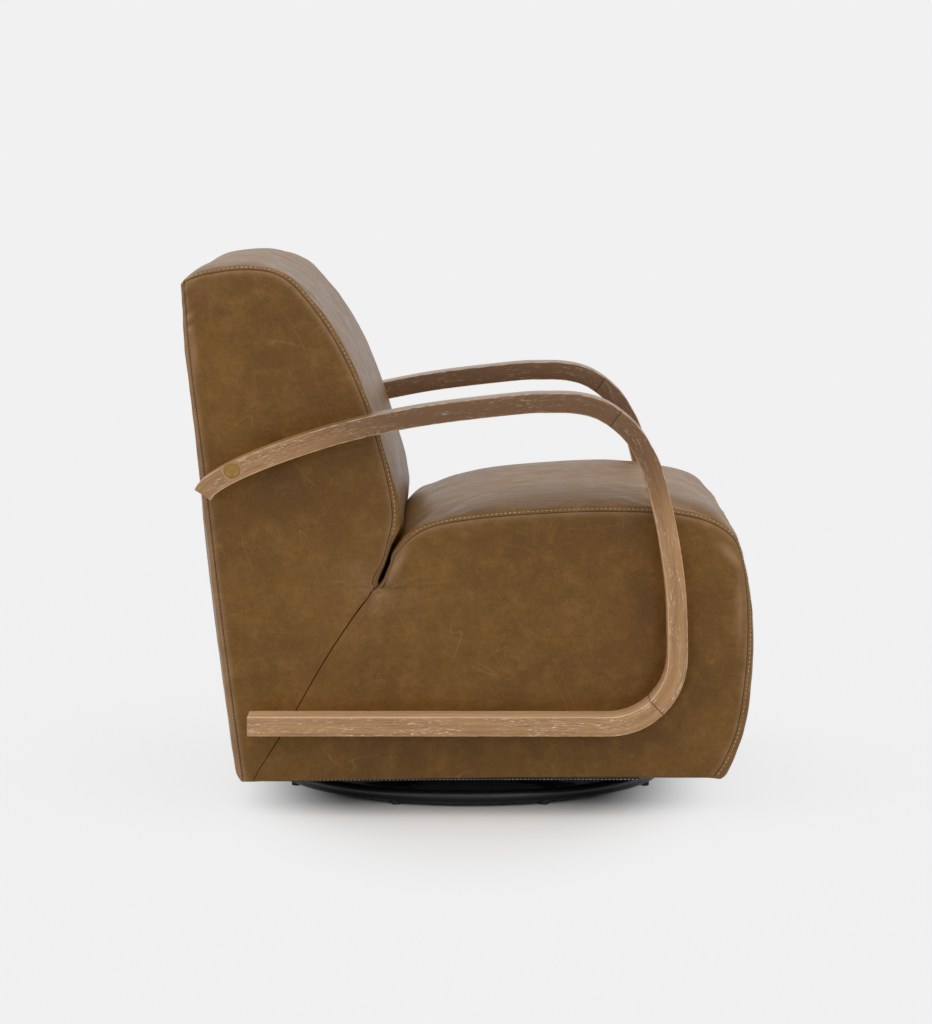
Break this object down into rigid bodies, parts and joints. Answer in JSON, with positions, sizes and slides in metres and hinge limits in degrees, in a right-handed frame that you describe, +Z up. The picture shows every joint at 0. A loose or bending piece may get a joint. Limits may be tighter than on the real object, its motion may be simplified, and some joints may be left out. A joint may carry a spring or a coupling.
{
  "type": "swivel rocker",
  "caption": "Leather lounge chair with open bentwood arm loops, on a low round base that turns on a ball bearing and rocks on a sprung shaft.",
  "frame": {"origin": "on the floor under the swivel axis, which is the middle of the ring base", "axes": "+Z up, the sitter faces -Y, +X to the sitter's left hand side"},
  "size_m": [0.7406, 0.8342, 0.797],
  "materials": {
    "leather": "satin",
    "oak": "matte",
    "plywood": "matte",
    "base_black": "satin",
    "zinc_steel": "satin",
    "spring_steel": "satin",
    "brass": "satin",
    "nylon": "satin",
    "cover_cloth": "matte"
  },
  "bodies": {
    "base": {"base_ring": "base_black", "base_spider": "base_black", "foot_glide_1": "base_black", "foot_glide_2": "base_black", "foot_glide_3": "base_black", "foot_glide_4": "base_black", "foot_glide_5": "base_black", "foot_glide_6": "base_black", "foot_glide_7": "base_black", "foot_glide_8": "base_black", "bearing_lower_plate": "zinc_steel", "center_stud": "zinc_steel", "center_nut": "zinc_steel"},
    "cage": {"bearing_ball_cage": "zinc_steel"},
    "swivel": {"bearing_upper_plate": "zinc_steel", "rocker_cradle": "base_black", "shaft_bush_left": "nylon", "shaft_bush_right": "nylon", "rocker_spring_front_left": "spring_steel", "rocker_spring_front_right": "spring_steel", "rocker_spring_rear_left": "spring_steel", "rocker_spring_rear_right": "spring_steel"},
    "chair": {"rocker_saddle": "base_black", "mount_rail_left": "base_black", "mount_rail_right": "base_black", "seat_spring_1": "spring_steel", "seat_spring_2": "spring_steel", "seat_spring_3": "spring_steel", "seat_spring_4": "spring_steel", "rock_shaft": "zinc_steel", "shaft_clip_left": "zinc_steel", "shaft_clip_right": "zinc_steel", "mount_bolt_front_left": "zinc_steel", "mount_bolt_front_right": "zinc_steel", "mount_bolt_rear_left": "zinc_steel", "mount_bolt_rear_right": "zinc_steel", "rail_screw_front_left": "zinc_steel", "rail_screw_front_right": "zinc_steel", "rail_screw_rear_left": "zinc_steel", "rail_screw_rear_right": "zinc_steel", "frame_side_panel_left": "plywood", "frame_side_panel_right": "plywood", "frame_front_rail": "plywood", "frame_rear_rail": "plywood", "frame_spring_rail": "plywood", "frame_top_rail": "plywood", "frame_bearer_front": "plywood", "frame_bearer_rear": "plywood", "seat_cushion": "leather", "back_cushion": "leather", "dust_cover": "cover_cloth", "arm_top_left": "oak", "arm_top_right": "oak", "arm_front_left": "oak", "arm_front_right": "oak", "arm_rail_left": "oak", "arm_rail_right": "oak", "arm_cap_bolt_left": "brass", "arm_cap_bolt_right": "brass"}
  },
  "joints": [
    {"name": "swivel_turn", "type": "hinge", "parent": "base", "child": "swivel", "pos_m": [0, 0, 0.03], "axis": [0, 0, 1], "continuous": true},
    {"name": "cage_spin", "type": "hinge", "parent": "base", "child": "cage", "pos_m": [0, 0, 0.0267], "axis": [0, 0, 1], "continuous": true},
    {"name": "rock", "type": "hinge", "parent": "swivel", "child": "chair", "pos_m": [0, 0, 0.095], "axis": [1, 0, 0], "range_deg": [-4, 4], "stiffness_Nm_per_rad": 900, "springref_deg": 0.72, "deforming": ["rocker_spring_front_left", "rocker_spring_front_right", "rocker_spring_rear_left", "rocker_spring_rear_right"]}
  ],
  "couplings": [
    {"joint": "cage_spin", "follows": "swivel_turn", "ratio": 0.5}
  ]
}
